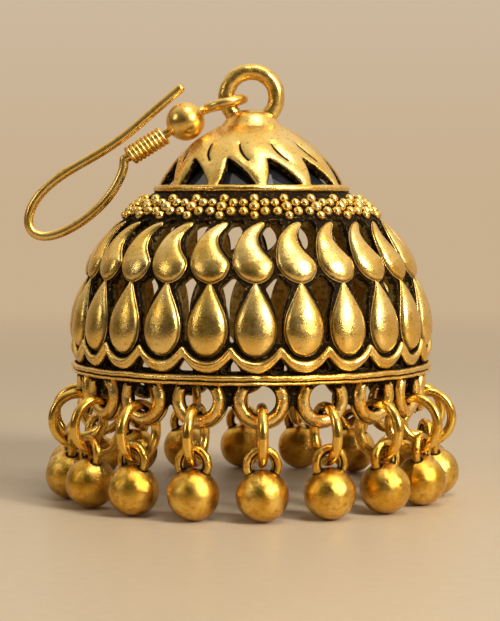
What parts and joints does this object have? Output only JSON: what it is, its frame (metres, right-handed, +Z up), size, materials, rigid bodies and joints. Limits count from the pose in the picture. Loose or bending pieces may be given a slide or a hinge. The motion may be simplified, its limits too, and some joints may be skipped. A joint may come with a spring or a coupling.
{
  "type": "jhumka earring",
  "caption": "Bell-shaped drop earring with a pierced, relief-covered dome, a fringe of small ball drops and a wire ear hook.",
  "frame": {"origin": "on the bell's axis, on the surface that the ball drops stand on", "axes": "+Z up along the bell's axis, -Y the front, the hook lies to the -X side"},
  "size_m": [0.0347, 0.0332, 0.0344],
  "materials": {
    "antique_gold": "antique gold plate, bright on the raised ornament, black patina in the recesses",
    "black_enamel": "glossy black faceted inlay",
    "polished_gold": "smooth polished gold plate with fine wear",
    "ring_gold": "gold plated wire with a little dark patina",
    "ball_gold": "cast ball with bright gold plate, finely pitted and darker round the bail"
  },
  "bodies": {
    "root": {"dome": "antique_gold", "crown_cap": "antique_gold", "black_inlay": "black_enamel", "jump_ring_01": "ring_gold", "jump_ring_02": "ring_gold", "jump_ring_03": "ring_gold", "jump_ring_04": "ring_gold", "jump_ring_05": "ring_gold", "jump_ring_06": "ring_gold", "jump_ring_07": "ring_gold", "jump_ring_08": "ring_gold", "jump_ring_09": "ring_gold", "jump_ring_10": "ring_gold", "jump_ring_11": "ring_gold", "jump_ring_12": "ring_gold", "jump_ring_13": "ring_gold", "jump_ring_14": "ring_gold", "jump_ring_15": "ring_gold", "jump_ring_16": "ring_gold", "jump_ring_17": "ring_gold", "jump_ring_18": "ring_gold", "ball_drop_01": "ball_gold", "ball_drop_02": "ball_gold", "ball_drop_03": "ball_gold", "ball_drop_04": "ball_gold", "ball_drop_05": "ball_gold", "ball_drop_06": "ball_gold", "ball_drop_07": "ball_gold", "ball_drop_08": "ball_gold", "ball_drop_09": "ball_gold", "ball_drop_10": "ball_gold", "ball_drop_11": "ball_gold", "ball_drop_12": "ball_gold", "ball_drop_13": "ball_gold", "ball_drop_14": "ball_gold", "ball_drop_15": "ball_gold", "ball_drop_16": "ball_gold", "ball_drop_17": "ball_gold", "ball_drop_18": "ball_gold"},
    "hook": {"ear_hook": "polished_gold", "hook_bead": "polished_gold", "hook_coil": "polished_gold"}
  },
  "joints": [
    {"name": "hook_swing", "type": "hinge", "parent": "root", "child": "hook", "pos_m": [0, 0, 0.03179], "axis": [0, 1, 0], "range_deg": [0, 180]}
  ]
}
